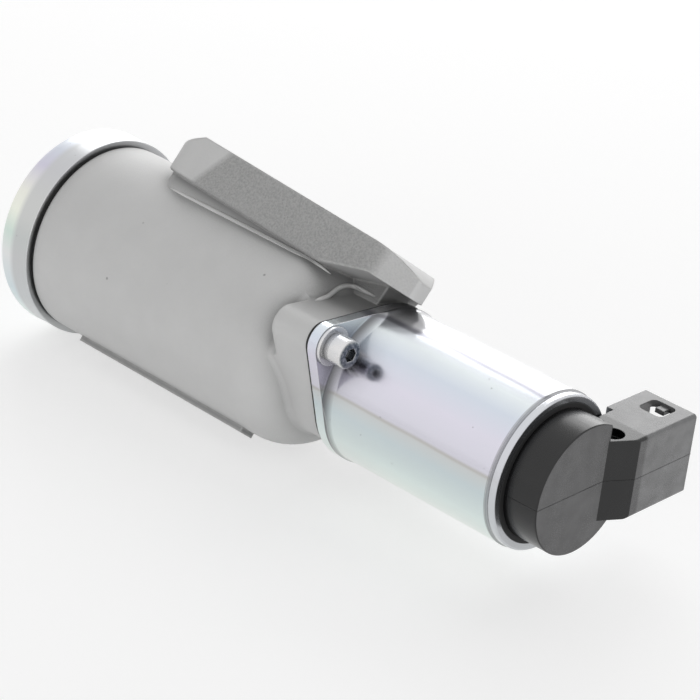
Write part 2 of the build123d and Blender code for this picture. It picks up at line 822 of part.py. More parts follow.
# Connector cap: round base and face, slanted neck and plug housing
with BuildPart() as connector_cap:
    with BuildSketch(along):
        with BuildLine():
            Polyline(
                (x_cap_base, 0),
                (x_cap_base, stack_r),
                (x_lip_in, stack_r),
                (x_lip_in, disc_face_r),
                (x_disc_face, disc_face_r),
                (x_disc_face, 0),
                close=True,
            )
        make_face()
        fillet(vertices().group_by(Axis.X)[-1].sort_by(Axis.Y)[-1], disc_face_edge)
    revolve(axis=valve_axis)
    with BuildSketch(level):
        with BuildLine():
            Polyline(
                (x_lip + loose_gap, 0),
                (x_disc_face, 0),
                (x_disc_face, neck_start),
                (x_plug_front, neck_end),
                (x_plug_front, plug_reach),
                (x_plug_back, plug_reach),
                (x_plug_back, can_r + loose_gap),
                (x_lip + loose_gap, can_r + loose_gap),
                close=True,
            )
        make_face()
    extrude(amount=plug_half_height, both=True)
    fillet(edges().filter_by(Axis.Y).group_by(Axis.X)[-1], plug_edge_r)
    chamfer(faces().sort_by(Axis.Y)[-1].edges(), mouth_chamfer)
    # Socket, open towards +Y
    with BuildSketch(level):
        with Locations((x_socket, plug_reach - socket_depth / 2)):
            Rectangle(x_plug_front - x_plug_back - 2 * plug_wall, socket_depth)
    extrude(amount=plug_half_height - plug_wall, both=True, mode=Mode.SUBTRACT)
    # Latch window in the top wall, with its tongue
    with BuildSketch(level.offset(plug_half_height - plug_wall)):
        with Locations((x_socket, latch_centre)):
            RectangleRounded(latch_length, latch_width, latch_corner_r)
            with Locations((0, (latch_width - tongue_length) / 2)):
                Rectangle(tongue_width, tongue_length, mode=Mode.SUBTRACT)
    extrude(amount=plug_wall, mode=Mode.SUBTRACT)
    with BuildSketch(level.offset(plug_half_height - tongue_drop)):
        with Locations((x_socket, latch_centre + (latch_width - tongue_length) / 2)):
            Rectangle(tongue_width, tongue_length)
    extrude(amount=tongue_drop, mode=Mode.SUBTRACT)
    # Pit in the top of the neck, with the disc cut back to it
    with BuildSketch(level.offset(plug_half_height - relief_depth)):
        with Locations((x_disc_face - relief_setback, relief_reach)):
            Circle(relief_r)
    extrude(amount=disc_face_r, mode=Mode.SUBTRACT)
    with BuildSketch(level.offset(plug_half_height)):
        with Locations((x_disc_face - relief_cut / 2, (relief_start + disc_face_r) / 2)):
            Rectangle(relief_cut, disc_face_r - relief_start)
    extrude(amount=disc_face_r - plug_half_height, mode=Mode.SUBTRACT)
    # Slots that hold the terminals
    for side in (-1, 1):
        with BuildSketch(level.offset(side * blade_pitch / 2)):
            with BuildLine():
                Polyline(
                    (x_cap_base, blade_row - blade_width / 2),
                    (x_socket + blade_width / 2, blade_row - blade_width / 2),
                    (x_socket + blade_width / 2, plug_reach - socket_depth),
                    (x_socket - blade_width / 2, plug_reach - socket_depth),
                    (x_socket - blade_width / 2, blade_row + blade_width / 2),
                    (x_cap_base, blade_row + blade_width / 2),
                    close=True,
                )
            make_face()
            offset(amount=press_gap)
        extrude(amount=blade_t / 2 + press_gap, both=True, mode=Mode.SUBTRACT)
save(connector_cap, "connector_cap")

# Terminals: a leg from the coil, bent over into a blade in the socket
for node, side in (("upper", 1), ("lower", -1)):
    with BuildPart() as terminal:
        with BuildSketch(level.offset(side * blade_pitch / 2)):
            with BuildLine():
                Polyline(
                    (x_yoke, blade_row - blade_width / 2),
                    (x_socket + blade_width / 2, blade_row - blade_width / 2),
                    (x_socket + blade_width / 2, blade_reach),
                    (x_socket - blade_width / 2, blade_reach),
                    (x_socket - blade_width / 2, blade_row + blade_width / 2),
                    (x_yoke, blade_row + blade_width / 2),
                    close=True,
                )
            make_face()
            chamfer(vertices().group_by(Axis.Y)[-1], blade_t)
        extrude(amount=blade_t / 2, both=True)
    save(terminal, "terminal_" + node)
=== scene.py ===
"""Looks of the idle air control valve: finishes, fine pieces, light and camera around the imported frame.

Lengths are in metres. X runs along the valve axis towards the plug end, Y is the way the plug
points and Z is up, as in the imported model.
"""

import logging
import math
from collections.abc import Iterable
from dataclasses import dataclass, replace
from enum import Enum
from typing import NamedTuple

import bmesh
import bpy
from mathutils import Matrix, Vector


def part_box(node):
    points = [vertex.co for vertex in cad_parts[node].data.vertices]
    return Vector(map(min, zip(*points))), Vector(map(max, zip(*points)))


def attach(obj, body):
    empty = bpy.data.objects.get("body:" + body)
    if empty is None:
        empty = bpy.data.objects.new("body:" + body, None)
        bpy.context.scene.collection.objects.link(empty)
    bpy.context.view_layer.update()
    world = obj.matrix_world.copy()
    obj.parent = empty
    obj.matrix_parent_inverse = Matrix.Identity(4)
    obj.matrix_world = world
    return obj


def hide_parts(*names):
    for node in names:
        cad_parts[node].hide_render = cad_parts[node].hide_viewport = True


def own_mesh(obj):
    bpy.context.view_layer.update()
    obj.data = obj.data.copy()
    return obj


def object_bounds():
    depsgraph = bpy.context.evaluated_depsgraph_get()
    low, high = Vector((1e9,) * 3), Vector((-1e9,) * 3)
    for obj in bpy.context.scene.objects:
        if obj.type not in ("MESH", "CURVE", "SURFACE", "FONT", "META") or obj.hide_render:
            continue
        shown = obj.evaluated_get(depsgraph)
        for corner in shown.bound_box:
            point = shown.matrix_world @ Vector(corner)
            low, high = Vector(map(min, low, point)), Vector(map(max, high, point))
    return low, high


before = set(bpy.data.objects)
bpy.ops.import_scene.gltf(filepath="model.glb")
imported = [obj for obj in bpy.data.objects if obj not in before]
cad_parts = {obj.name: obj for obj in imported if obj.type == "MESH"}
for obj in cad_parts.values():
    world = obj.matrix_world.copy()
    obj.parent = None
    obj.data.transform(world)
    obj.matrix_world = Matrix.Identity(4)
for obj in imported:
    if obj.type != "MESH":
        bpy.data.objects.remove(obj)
CAD_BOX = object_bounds()

log = logging.getLogger("valve")
Colour = tuple[float, float, float]
Point = tuple[float, float, float]
Band = tuple[float, Colour]
Node = bpy.types.Node
Socket = bpy.types.NodeSocket

MM = 0.001
MERGE_GAP = 0.001 * MM
ON_PLANE = 0.0001 * MM
HOUSING = "housing"

# Valve axis, plug direction and tilted mounting face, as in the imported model
AXIS = Vector((1.0, 0.0, 0.0))
AXIS_Y = -17.265 * MM
AXIS_Z = -24.656 * MM
PLUG_WAY = Vector((0.0, 1.0, 0.0))
FACE_NORMAL = Vector((0.07498, 0.57197, 0.81682)).normalized()
FACE_ALONG = Vector((0.99719, -0.04301, -0.06142)).normalized()
FACE_ACROSS = FACE_NORMAL.cross(FACE_ALONG)

# Way from the axis to the crown of the round parts, up which the bands of plating tints and painted
# reflections follow
CROWN = Vector((0.0, 0.273, 0.962))

# A place beyond the part, for a band that a finish doesn't have
NOWHERE = 1.0
WHITE = (1.0, 1.0, 1.0, 1.0)


class Texture(Enum):
    """How the grain of a surface runs: its scale along X, Y and Z."""

    EVEN = (1.0, 1.0, 1.0)
    DRAWN = (0.06, 1.0, 1.0)
    TURNED = (1.0, 0.03, 0.03)


class Fade(NamedTuple):
    """Stretches values from one range to another and clamps them; low may be above high."""

    low: float
    high: float
    to_low: float = 0.0
    to_high: float = 1.0

    def moved(self, offset: float) -> "Fade":
        """Shifts the range that the fade reads."""
        return self._replace(low=self.low + offset, high=self.high + offset)


# Range that most noise values fill, and their mean
NOISE = Fade(0.3, 0.7)
NOISE_MEAN = 0.5


class NodeKit:
    """Adds and joins shader nodes in one tree."""

    def __init__(self, tree: bpy.types.NodeTree) -> None:
        """Keeps the tree.

        Args:
            tree: The node tree that is filled.
        """
        self.tree = tree

    def add(self, kind: str, **settings: object) -> Node:
        """Adds a node and sets its properties.

        Args:
            kind: Blender's name of the node class.
            **settings: Properties of the node, by name.

        Returns:
            The new node.
        """
        node = self.tree.nodes.new(kind)
        for key, value in settings.items():
            setattr(node, key, value)
        return node

    def join(self, source: Socket, target: Socket) -> None:
        """Links an output to an input."""
        self.tree.links.new(source, target)

    def feed(self, target: Socket, value: Socket | Colour | float) -> None:
        """Links a socket to an input, or sets the input to a colour or a number.

        Args:
            target: The input.
            value: What it gets.
        """
        if isinstance(value, Socket):
            self.join(value, target)
        elif isinstance(value, tuple):
            target.default_value = (*value, 1.0)
        else:
            target.default_value = value

    def place(self) -> Socket:
        """Adds the position on the piece, in its own axes."""
        return self.add("ShaderNodeTexCoord").outputs["Object"]

    def facing(self, direction: Vector) -> Socket:
        """Measures how much the surface faces a direction, from minus one to one."""
        return self.along(self.add("ShaderNodeNewGeometry").outputs["Normal"], direction)

    def noise(self, place: Socket, scale: Socket | float, detail: float = 3.0) -> Socket:
        """Adds a noise texture.

        Args:
            place: Socket that gives the position.
            scale: Waves per metre.
            detail: Octaves of the noise.

        Returns:
            The noise.
        """
        node = self.add("ShaderNodeTexNoise")
        node.inputs["Detail"].default_value = detail
        self.feed(node.inputs["Scale"], scale)
        self.join(place, node.inputs["Vector"])
        return node.outputs[0]

    def cells(self, place: Socket, scale: float) -> Node:
        """Adds a pattern of scattered cells.

        Args:
            place: Socket that gives the position.
            scale: Cells per metre.

        Returns:
            The node, with the distance to each cell's centre and a colour per cell.
        """
        node = self.add("ShaderNodeTexVoronoi")
        node.inputs["Scale"].default_value = scale
        self.join(place, node.inputs["Vector"])
        return node

    def spread(self, value: Socket, fade: Fade) -> Socket:
        """Stretches a value from one range to another and clamps it.

        Args:
            value: Socket with the value.
            fade: The two ranges.

        Returns:
            The stretched value.
        """
        node = self.add("ShaderNodeMapRange")
        for key, number in zip(("From Min", "From Max", "To Min", "To Max"), fade):
            node.inputs[key].default_value = number
        self.join(value, node.inputs["Value"])
        return node.outputs["Result"]

    def math(
        self, operation: str, first: Socket | float, second: Socket | float = 0.0, third: Socket | float = 0.0
    ) -> Socket:
        """Adds a Math node.

        Args:
            operation: Blender's name of the operation.
            first: First operand, a socket or a number.
            second: Second operand.
            third: Third operand.

        Returns:
            The result.
        """
        node = self.add("ShaderNodeMath", operation=operation)
        for place, operand in zip(node.inputs, (first, second, third)):
            self.feed(place, operand)
        return node.outputs[0]

    def times(self, first: Socket | float, second: Socket | float) -> Socket:
        """Multiplies two values."""
        return self.math("MULTIPLY", first, second)

    def vector(self, operation: str, first: Socket, second: Socket | Vector) -> Node:
        """Adds a Vector Math node.

        Args:
            operation: Blender's name of the operation.
            first: First vector.
            second: Second vector, a socket or a value.

        Returns:
            The node, with the result as a vector or as a value.
        """
        node = self.add("ShaderNodeVectorMath", operation=operation)
        self.feed(node.inputs[0], first)
        self.feed(node.inputs[1], second)
        return node

    def along(self, vector: Socket, direction: Vector) -> Socket:
        """Measures a vector along a direction."""
        return self.vector("DOT_PRODUCT", vector, direction).outputs["Value"]

    def mix(
        self, share: Socket | float, first: Socket | Colour, second: Socket | Colour, blend: str = "MIX"
    ) -> Socket:
        """Mixes two colours.

        Args:
            share: Weight of the second colour.
            first: First colour, a socket or a value.
            second: Second colour, a socket or a value.
            blend: Blender's name of the way they are mixed.

        Returns:
            The mixed colour.
        """
        node = self.add("ShaderNodeMix", data_type="RGBA", blend_type=blend)
        for number, value in ((0, share), (6, first), (7, second)):
            self.feed(node.inputs[number], value)
        return node.outputs[2]


FLOAT, VECTOR = "NodeSocketFloat", "NodeSocketVector"


class SharedEffects:
    """Shader groups that several finishes use, each built once."""

    edge_turn: Fade = Fade(0.995, 0.93)
    edge_breaks: Fade = Fade(0.3, 0.6, 0.45, 1.0)
    hollow_shade_fade: Fade = Fade(0.93, 0.25)
    ray_samples: int = 6

    def __init__(self) -> None:
        """Builds the groups."""
        self.grain = self._grain()
        self.edges = self._edges()
        self.level = self._level()

    @staticmethod
    def _begin(
        name: str, inputs: dict[str, tuple[str, object]], outputs: dict[str, str]
    ) -> tuple[NodeKit, Node, Node]:
        """Starts a group with named sockets.

        Args:
            name: Name of the group.
            inputs: Socket type and default of each input, by name.
            outputs: Socket type of each output, by name.

        Returns:
            Helper of the group's tree, its input node and its output node.
        """
        tree = bpy.data.node_groups.new(name, "ShaderNodeTree")
        for label, (kind, value) in inputs.items():
            socket = tree.interface.new_socket(label, in_out="INPUT", socket_type=kind)
            socket.default_value = value
        for label, kind in outputs.items():
            tree.interface.new_socket(label, in_out="OUTPUT", socket_type=kind)
        return NodeKit(tree), tree.nodes.new("NodeGroupInput"), tree.nodes.new("NodeGroupOutput")

    def _grain(self) -> bpy.types.NodeTree:
        """Height and roughness of a grainy surface: a fine grain over a soft unevenness."""
        kit, start, end = self._begin(
            "surface_grain",
            {
                "Grains per m": (FLOAT, 3000.0),
                "Swells per m": (FLOAT, 120.0),
                "Swell": (FLOAT, 0.5),
                "Rough low": (FLOAT, 0.4),
                "Rough high": (FLOAT, 0.6),
                "Run": (VECTOR, (1.0, 1.0, 1.0)),
            },
            {"Height": FLOAT, "Roughness": FLOAT, "Patches": FLOAT},
        )
        place = kit.place()
        run = kit.vector("MULTIPLY", place, start.outputs["Run"])
        fine = kit.noise(run.outputs[0], start.outputs["Grains per m"], detail=2.0)
        swell = kit.noise(place, start.outputs["Swells per m"])
        kit.join(kit.math("MULTIPLY_ADD", swell, start.outputs["Swell"], fine), end.inputs["Height"])
        patch = kit.spread(swell, NOISE)
        mean = kit.times(kit.math("ADD", patch, kit.spread(fine, NOISE)), 0.5)
        rough = kit.add("ShaderNodeMapRange")
        kit.join(mean, rough.inputs["Value"])
        kit.join(start.outputs["Rough low"], rough.inputs["To Min"])
        kit.join(start.outputs["Rough high"], rough.inputs["To Max"])
        kit.join(rough.outputs["Result"], end.inputs["Roughness"])
        kit.join(patch, end.inputs["Patches"])
        return kit.tree

    def _edges(self) -> bpy.types.NodeTree:
        """Softened normal of the edges, a mask of them that noise breaks up, and a mask of painted shade in
        the hollows.
        """
        kit, start, end = self._begin(
            "edges_and_hollow_shade",
            {
                "Round": (FLOAT, 0.0004),
                "Breaks per m": (FLOAT, 500.0),
                "Hollow reach": (FLOAT, 0.006),
            },
            {"Mask": FLOAT, "Normal": VECTOR, "Hollow": FLOAT},
        )
        soft = kit.add("ShaderNodeBevel", samples=self.ray_samples)
        kit.join(start.outputs["Round"], soft.inputs["Radius"])
        real = kit.add("ShaderNodeNewGeometry").outputs["Normal"]
        turn = kit.vector("DOT_PRODUCT", soft.outputs["Normal"], real).outputs["Value"]
        breaks = kit.noise(kit.place(), start.outputs["Breaks per m"])
        mask = kit.times(kit.spread(turn, self.edge_turn), kit.spread(breaks, self.edge_breaks))
        kit.join(mask, end.inputs["Mask"])
        kit.join(soft.outputs["Normal"], end.inputs["Normal"])
        # Painted shade: ambient occlusion marks the hollows that get darkened
        closed = kit.add("ShaderNodeAmbientOcclusion", samples=self.ray_samples)
        kit.join(start.outputs["Hollow reach"], closed.inputs["Distance"])
        kit.join(kit.spread(closed.outputs["AO"], self.hollow_shade_fade), end.inputs["Hollow"])
        return kit.tree

    def _level(self) -> bpy.types.NodeTree:
        """Height on the round of the valve, from minus one at its foot to one at its crown."""
        kit, start, end = self._begin(
            "round_level",
            {
                "Radius": (FLOAT, 0.019),
                "Sway": (FLOAT, 0.06),
                "Sways per m": (FLOAT, 30.0),
            },
            {"Level": FLOAT},
        )
        place = kit.place()
        from_axis = kit.vector("SUBTRACT", place, Vector((0.0, AXIS_Y, AXIS_Z)))
        level = kit.math("DIVIDE", kit.along(from_axis.outputs[0], CROWN), start.outputs["Radius"])
        sway = kit.noise(place, start.outputs["Sways per m"], detail=1.0)
        offset = kit.times(kit.math("SUBTRACT", sway, NOISE_MEAN), start.outputs["Sway"])
        kit.join(kit.math("ADD", level, offset), end.inputs["Level"])
        return kit.tree

    @staticmethod
    def use(kit: NodeKit, group: bpy.types.NodeTree, **values: object) -> Node:
        """Places a shared group in a material.

        Args:
            kit: Helper of the material's tree.
            group: The group to place.
            **values: Input values by socket name, with underscores for spaces.

        Returns:
            The group node.
        """
        node = kit.add("ShaderNodeGroup", node_tree=group)
        for key, value in values.items():
            node.inputs[key.replace("_", " ")].default_value = value
        return node


@dataclass(frozen=True)
class Finish:
    """A surface finish: colour, gloss, grain, softened, rubbed edges and painted shade in its hollows."""

    name: str
    colour: Colour
    metallic: float
    rough_low: float
    rough_high: float
    texture: Texture
    shade: Colour
    edge_colour: Colour
    edge_share: float = 0.5
    edge_round: float = 0.0003
    # Painted shade in the hollows: its share, reach and dimness
    hollow_shade_share: float = 0.3
    hollow_shade_reach: float = 0.005
    hollow_shade_dim: float = 0.25
    grains_per_m: float = 3000.0
    swells_per_m: float = 120.0
    swell: float = 0.5
    grain_depth: float = 0.00002
    specular: float = 0.5

    def build(self, effects: SharedEffects) -> bpy.types.Material:
        """Makes the material.

        Args:
            effects: The shared shader groups.

        Returns:
            The new material.
        """
        material = bpy.data.materials.new(self.name)
        material.use_nodes = True
        kit = NodeKit(material.node_tree)
        shader = material.node_tree.nodes["Principled BSDF"]
        shader.inputs["Metallic"].default_value = self.metallic
        shader.inputs["Specular IOR Level"].default_value = self.specular
        grain = effects.use(
            kit, effects.grain, Grains_per_m=self.grains_per_m, Swells_per_m=self.swells_per_m,
            Swell=self.swell, Rough_low=self.rough_low, Rough_high=self.rough_high, Run=self.texture.value,
        )
        edges = effects.use(kit, effects.edges, Round=self.edge_round, Hollow_reach=self.hollow_shade_reach)
        bump = kit.add("ShaderNodeBump")
        bump.inputs["Distance"].default_value = self.grain_depth
        kit.join(self.height(kit, grain), bump.inputs["Height"])
        kit.join(edges.outputs["Normal"], bump.inputs["Normal"])
        kit.join(bump.outputs["Normal"], shader.inputs["Normal"])
        kit.join(self.roughness(kit, grain), shader.inputs["Roughness"])
        surface = self.surface(kit, effects, grain)
        rubbed = kit.mix(kit.times(edges.outputs["Mask"], self.edge_share), surface, self.edge_colour)
        # Painted shade: the hollows are darkened towards a dim copy of the shade colour
        closed = kit.times(edges.outputs["Hollow"], self.hollow_shade_share)
        kit.join(kit.mix(closed, rubbed, self.dimmed(self.hollow_shade_dim)), shader.inputs["Base Color"])
        return material

    def dimmed(self, level: float) -> Colour:
        """Shade colour, brought down to a share of itself."""
        return tuple(level * channel for channel in self.shade)

    def surface(self, kit: NodeKit, effects: SharedEffects, grain: Node) -> Socket:
        """Colour of the open surface, away from its edges.

        Args:
            kit: Helper of the material's tree.
            effects: The shared shader groups.
            grain: The placed grain group.

        Returns:
            Socket with the colour.
        """
        return kit.mix(grain.outputs["Patches"], self.shade, self.colour)

    def height(self, kit: NodeKit, grain: Node) -> Socket:
        """Height that the bump follows."""
        return grain.outputs["Height"]

    def roughness(self, kit: NodeKit, grain: Node) -> Socket:
        """Roughness over the surface."""
        return grain.outputs["Roughness"]


@dataclass(frozen=True)
class CastFinish(Finish):
    """Blasted die casting: smooth body, coarse sides of the mounting plate, milled mounting face, painted
    shade under the plate and a painted highlight on its far tip.

    Rises are measured from the mounting face, and facings against its normal or across it.
    """

    # Coarse sides of the plate, which end at its lower edge and before its rounded far tip, where the lighter
    # body colour stays as a painted highlight of the rounding
    side_colour: Colour = (0.47, 0.47, 0.465)
    side_speck: Colour = (0.36, 0.36, 0.36)
    side_grains_per_m: float = 2100.0
    side_specks: Fade = Fade(0.36, 0.62)
    side_depth: float = 5.0
    side_rise: Fade = Fade(-11.4 * MM, -10.8 * MM)
    side_facing: Fade = Fade(0.70, 0.93)
    tip_highlight_fade: Fade = Fade(-22.9 * MM, -20.7 * MM)
    tip_highlight_slant: float = 0.547
    # Small pits of the casting
    pits_per_m: float = 75.0
    pit_fade: Fade = Fade(0.035, 0.015, 0.0, 0.8)
    pit_colour: Colour = (0.26, 0.26, 0.26)
    # Painted shade where the plate shelters the body, and on the side of the neck below the plate
    shelter_reach: float = 0.024
    shelter_samples: int = 8
    shelter_shade_fade: Fade = Fade(0.97, 0.60, 0.0, 0.85)
    shelter_shade_dim: float = 0.3
    open_facing: Fade = Fade(-0.97, -0.80, 0.25, 1.0)
    neck_rise: Fade = Fade(-14.9 * MM, -11.4 * MM)
    neck_end: Fade = Fade(-11.4 * MM, -11.5 * MM)
    neck_facing: Fade = Fade(0.80, 0.97)
    # Milled mounting face with round tool marks
    milled_colour: Colour = (0.68, 0.685, 0.69)
    milled_rise: Fade = Fade(-0.06 * MM, 0.0)
    milled_facing: Fade = Fade(0.97, 0.99)
    milled_roughness: float = -0.25
    mill_marks_per_m: float = 900.0
    mill_depth: float = 0.3
    mill_offset: Point = (0.09, 0.05, 0.0)

    def plate_masks(self, kit: NodeKit) -> tuple[Socket, Socket]:
        """Masks of the coarse sides of the plate and of its milled face; the sides stop short of the far tip,
        left lighter as a painted highlight.

        Args:
            kit: Helper of the material's tree.

        Returns:
            Mask of the sides and mask of the face.
        """
        place = kit.place()
        rise = kit.along(place, FACE_NORMAL)
        face_on = kit.math("ABSOLUTE", kit.facing(FACE_NORMAL))
        side_on = kit.math("ABSOLUTE", kit.facing(FACE_ACROSS))
        # Painted highlight: the far tip keeps the lighter body colour
        off_highlit_tip = kit.spread(kit.along(place, FACE_ALONG - self.tip_highlight_slant * FACE_NORMAL), self.tip_highlight_fade)
        upright = kit.times(kit.spread(side_on, self.side_facing), off_highlit_tip)
        side = kit.times(kit.spread(rise, self.side_rise), upright)
        milled = kit.times(kit.spread(rise, self.milled_rise), kit.spread(face_on, self.milled_facing))
        return side, milled

    def painted_shelter_shade(self, kit: NodeKit) -> Socket:
        """Mask of the painted shade in the shelter of the plate, the neck included.

        Args:
            kit: Helper of the material's tree.

        Returns:
            The mask.
        """
        rise = kit.along(kit.place(), FACE_NORMAL)
        below = kit.times(kit.spread(rise, self.neck_rise), kit.spread(rise, self.neck_end))
        side_on = kit.math("ABSOLUTE", kit.facing(FACE_ACROSS))
        neck = kit.times(below, kit.spread(side_on, self.neck_facing))
        light = kit.add("ShaderNodeAmbientOcclusion", samples=self.shelter_samples, only_local=True)
        light.inputs["Distance"].default_value = self.shelter_reach
        under = kit.spread(light.outputs["AO"], self.shelter_shade_fade)
        not_below = kit.spread(kit.facing(FACE_NORMAL), self.open_facing)
        return kit.math("MAXIMUM", neck, kit.times(under, not_below))

    def surface(self, kit: NodeKit, effects: SharedEffects, grain: Node) -> Socket:
        """Colour of the casting with its coarse sides, milled face, a few tiny pits, painted shade under the
        plate and a painted highlight on the far tip.

        Args:
            kit: Helper of the material's tree.
            effects: The shared shader groups.
            grain: The placed grain group.

        Returns:
            Socket with the colour.
        """
        place = kit.place()
        side, milled = self.plate_masks(kit)
        speck = kit.spread(kit.noise(place, self.side_grains_per_m, detail=4.0), self.side_specks)
        coarse = kit.mix(speck, self.side_speck, self.side_colour)
        pit = kit.spread(kit.cells(place, self.pits_per_m).outputs["Distance"], self.pit_fade)
        body = kit.mix(pit, super().surface(kit, effects, grain), self.pit_colour)
        # Painted shade under the plate and on the side of the neck
        cast = kit.mix(self.painted_shelter_shade(kit), kit.mix(side, body, coarse), self.dimmed(self.shelter_shade_dim))
        return kit.mix(milled, cast, self.milled_colour)

    def height(self, kit: NodeKit, grain: Node) -> Socket:
        """Height with a deeper grain on the sides of the plate and mill marks on its face.

        Args:
            kit: Helper of the material's tree.
            grain: The placed grain group.

        Returns:
            Socket with the height.
        """
        place = kit.place()
        side, milled = self.plate_masks(kit)
        coarse = kit.noise(place, self.side_grains_per_m, detail=4.0)
        marks = kit.add("ShaderNodeTexWave", wave_type="RINGS", rings_direction="SPHERICAL")
        marks.inputs["Scale"].default_value = self.mill_marks_per_m
        kit.join(kit.vector("ADD", place, Vector(self.mill_offset)).outputs[0], marks.inputs["Vector"])
        deep = kit.times(coarse, kit.times(side, self.side_depth))
        cast = kit.times(kit.math("ADD", grain.outputs["Height"], deep), kit.math("SUBTRACT", 1.0, milled))
        return kit.math("ADD", cast, kit.times(marks.outputs["Fac"], kit.times(milled, self.mill_depth)))

    def roughness(self, kit: NodeKit, grain: Node) -> Socket:
        """Roughness, lower on the milled face."""
        milled = self.plate_masks(kit)[1]
        return kit.math("MULTIPLY_ADD", milled, self.milled_roughness, grain.outputs["Roughness"])


@dataclass(frozen=True)
class PlatedFinish(Finish):
    """Bright zinc with passivation tints and, on the can, painted reflections and highlights, which lie along
    the part in soft bands.

    A band is its level on the round of the valve and its colour. The fades along the axis are
    measured from the start beside them.
    """

    bands: tuple[Band, ...] = ()
    round_radius: float = 19.0 * MM
    sway: float = 0.06
    sways_per_m: float = 30.0
    dull_fade: Fade = Fade(0.0, 1.0, 0.12, 0.0)
    # Plain rolled lip with a crease of painted shade where it begins
    lip_from: float = NOWHERE
    lip_fade: Fade = Fade(0.0, 0.4 * MM, 0.0, 0.85)
    crease_shade_fade: Fade = Fade(0.12 * MM, 0.4 * MM, 0.55, 0.0)
    # Painted shade in a ring round the foot of the can, in the corner just past its flange
    flare_from: float = NOWHERE
    flange_fade: Fade = Fade(0.02 * MM, 0.1 * MM)
    flare_shade_fade: Fade = Fade(0.3 * MM, 2.1 * MM, 0.9, 0.0)
    # Plain stretch without colours
    neutral_from: float = NOWHERE
    neutral_fade: Fade = Fade(0.0, 1.6 * MM, 0.0, 0.85)
    neutral_colour: Colour = (0.53, 0.535, 0.54)
    # Dark specks, on a few of the cells only
    specks_per_m: float = 420.0
    speck_fade: Fade = Fade(0.10, 0.05)
    speck_choice: Fade = Fade(0.80, 0.90, 0.0, 0.5)
    dark_dim: float = 0.22

    def banded(self, kit: NodeKit, effects: SharedEffects, grain: Node) -> Socket:
        """Colour of the bands, slightly dulled in patches.

        Args:
            kit: Helper of the material's tree.
            effects: The shared shader groups.
            grain: The placed grain group.

        Returns:
            Socket with the colour.
        """
        level = effects.use(
            kit, effects.level, Radius=self.round_radius, Sway=self.sway, Sways_per_m=self.sways_per_m
        )
        ramp = kit.add("ShaderNodeValToRGB")
        stops = ramp.color_ramp.elements
        given = len(stops)
        kit.join(kit.spread(level.outputs["Level"], Fade(-1.0, 1.0)), ramp.inputs["Fac"])
        for number, (level_at, colour) in enumerate(self.bands):
            position = (level_at + 1) / 2
            stop = stops[number] if number < given else stops.new(position)
            stop.position = position
            stop.color = (*colour, 1.0)
        dull = kit.spread(grain.outputs["Patches"], self.dull_fade)
        return kit.mix(dull, ramp.outputs["Color"], self.shade)

    def surface(self, kit: NodeKit, effects: SharedEffects, grain: Node) -> Socket:
        """Colour of the bands with the plain lip, the specks, and painted shade in the lip's crease and round
        the foot of the can.

        Args:
            kit: Helper of the material's tree.
            effects: The shared shader groups.
            grain: The placed grain group.

        Returns:
            Socket with the colour.
        """
        place = kit.place()
        along = kit.along(place, AXIS)
        neutral = kit.spread(along, self.neutral_fade.moved(self.neutral_from))
        lip = kit.spread(along, self.lip_fade.moved(self.lip_from))
        # Painted shade: a dark line in the crease where the lip begins
        off_crease = kit.math("ABSOLUTE", kit.math("SUBTRACT", along, self.lip_from))
        # Painted shade in the corner round the foot of the can, just past its flange
        past_flange = kit.spread(along, self.flange_fade.moved(self.flare_from))
        flare = kit.times(past_flange, kit.spread(along, self.flare_shade_fade.moved(self.flare_from)))
        ring = kit.math("MAXIMUM", kit.spread(off_crease, self.crease_shade_fade), flare)
        cells = kit.cells(place, self.specks_per_m)
        chosen = kit.add("ShaderNodeSeparateColor")
        kit.join(cells.outputs["Color"], chosen.inputs[0])
        dot = kit.spread(cells.outputs["Distance"], self.speck_fade)
        speck = kit.times(dot, kit.spread(chosen.outputs[0], self.speck_choice))
        plain = kit.mix(neutral, self.banded(kit, effects, grain), self.neutral_colour)
        dark = self.dimmed(self.dark_dim)
        return kit.mix(speck, kit.mix(ring, kit.mix(lip, plain, self.shade), dark), dark)


@dataclass(frozen=True)
class ScrewFinish(PlatedFinish):
    """Bright zinc with a dark, mottled end face and recess."""

    end_colour: Colour = (0.085, 0.10, 0.12)
    end_facing: Fade = Fade(0.55, 0.9)
    end_along: Fade = Fade(39.3 * MM, 39.6 * MM)
    end_mottle_per_m: float = 1500.0
    end_mottle_fade: Fade = Fade(0.3, 0.6, 0.6, 1.0)

    def surface(self, kit: NodeKit, effects: SharedEffects, grain: Node) -> Socket:
        """Colour, dark and mottled on the end of the head.

        Args:
            kit: Helper of the material's tree.
            effects: The shared shader groups.
            grain: The placed grain group.

        Returns:
            Socket with the colour.
        """
        place = kit.place()
        front = kit.spread(kit.along(place, AXIS), self.end_along)
        end = kit.times(kit.spread(kit.facing(AXIS), self.end_facing), front)
        end_mottle = kit.spread(kit.noise(place, self.end_mottle_per_m, detail=4.0), self.end_mottle_fade)
        return kit.mix(kit.times(end, end_mottle), super().surface(kit, effects, grain), self.end_colour)


